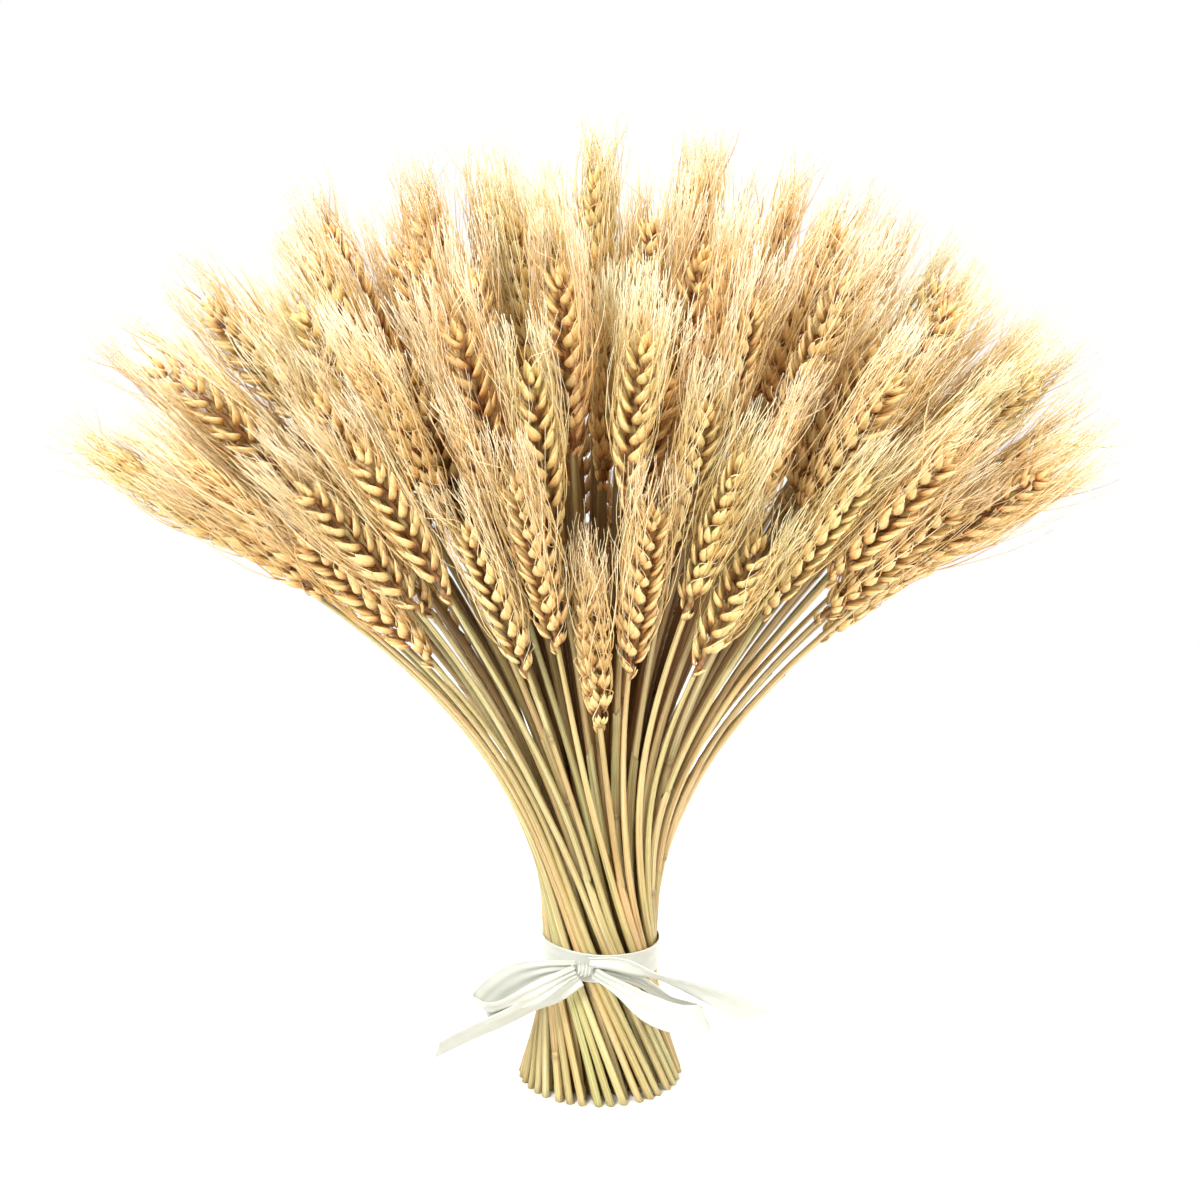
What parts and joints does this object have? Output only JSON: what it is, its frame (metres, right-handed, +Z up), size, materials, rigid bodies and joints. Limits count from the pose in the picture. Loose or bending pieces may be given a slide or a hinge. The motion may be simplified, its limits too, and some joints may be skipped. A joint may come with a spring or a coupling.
{
  "type": "dried wheat bundle",
  "caption": "Standing spiral-tied sheaf of dried bearded wheat, its ears fanned wide into a dome above a satin ribbon bow, on level cut ends.",
  "frame": {"origin": "middle of the level cut ends, on the surface that the bundle stands on", "axes": "+Z up through the middle of the bundle, -Y towards the ribbon's bow (the picture's front), +X to the right seen from the front"},
  "size_m": [0.4459, 0.1826, 0.417],
  "materials": {
    "straw_gold": "dry straw, faint sheen",
    "straw_green": "dry straw, faint sheen",
    "straw_tan": "dry straw, faint sheen",
    "straw_pale": "dry straw, faint sheen",
    "satin_ivory": "satin sheen"
  },
  "bodies": {
    "root": {"stalks_01": "straw_green", "stalks_02": "straw_tan", "stalks_03": "straw_pale", "stalks_04": "straw_gold", "stalks_05": "straw_green", "stalks_06": "straw_tan", "stalks_07": "straw_pale", "stalks_08": "straw_gold", "stalks_09": "straw_green", "stalks_10": "straw_tan", "stalks_11": "straw_pale", "stalks_12": "straw_gold", "stalks_13": "straw_green", "stalks_14": "straw_tan", "stalks_15": "straw_pale", "stalks_16": "straw_gold", "stalks_17": "straw_green", "stalks_18": "straw_tan", "stalks_19": "straw_pale", "stalks_20": "straw_gold", "stalks_21": "straw_green", "stalks_22": "straw_tan", "stalks_23": "straw_pale", "stalks_24": "straw_gold", "stalks_25": "straw_green", "stalks_26": "straw_tan", "stalks_27": "straw_pale", "stalks_28": "straw_gold", "stalks_29": "straw_green", "stalks_30": "straw_tan", "stalks_31": "straw_pale", "stalks_32": "straw_gold", "stalks_33": "straw_green", "stalks_34": "straw_tan", "stalks_35": "straw_pale", "stalks_36": "straw_gold", "stalks_37": "straw_green", "stalks_38": "straw_tan", "stalks_39": "straw_pale", "stalks_40": "straw_gold", "stalks_41": "straw_green", "stalks_42": "straw_tan", "stalks_43": "straw_pale", "stalks_44": "straw_gold", "stalks_45": "straw_green", "stalks_46": "straw_tan", "stalks_47": "straw_pale", "stalks_48": "straw_gold", "stalks_49": "straw_green", "ribbon_band": "satin_ivory", "bow_knot": "satin_ivory", "bow_loop_left": "satin_ivory", "bow_loop_right": "satin_ivory", "bow_tail_left": "satin_ivory", "bow_tail_right": "satin_ivory"}
  },
  "joints": []
}
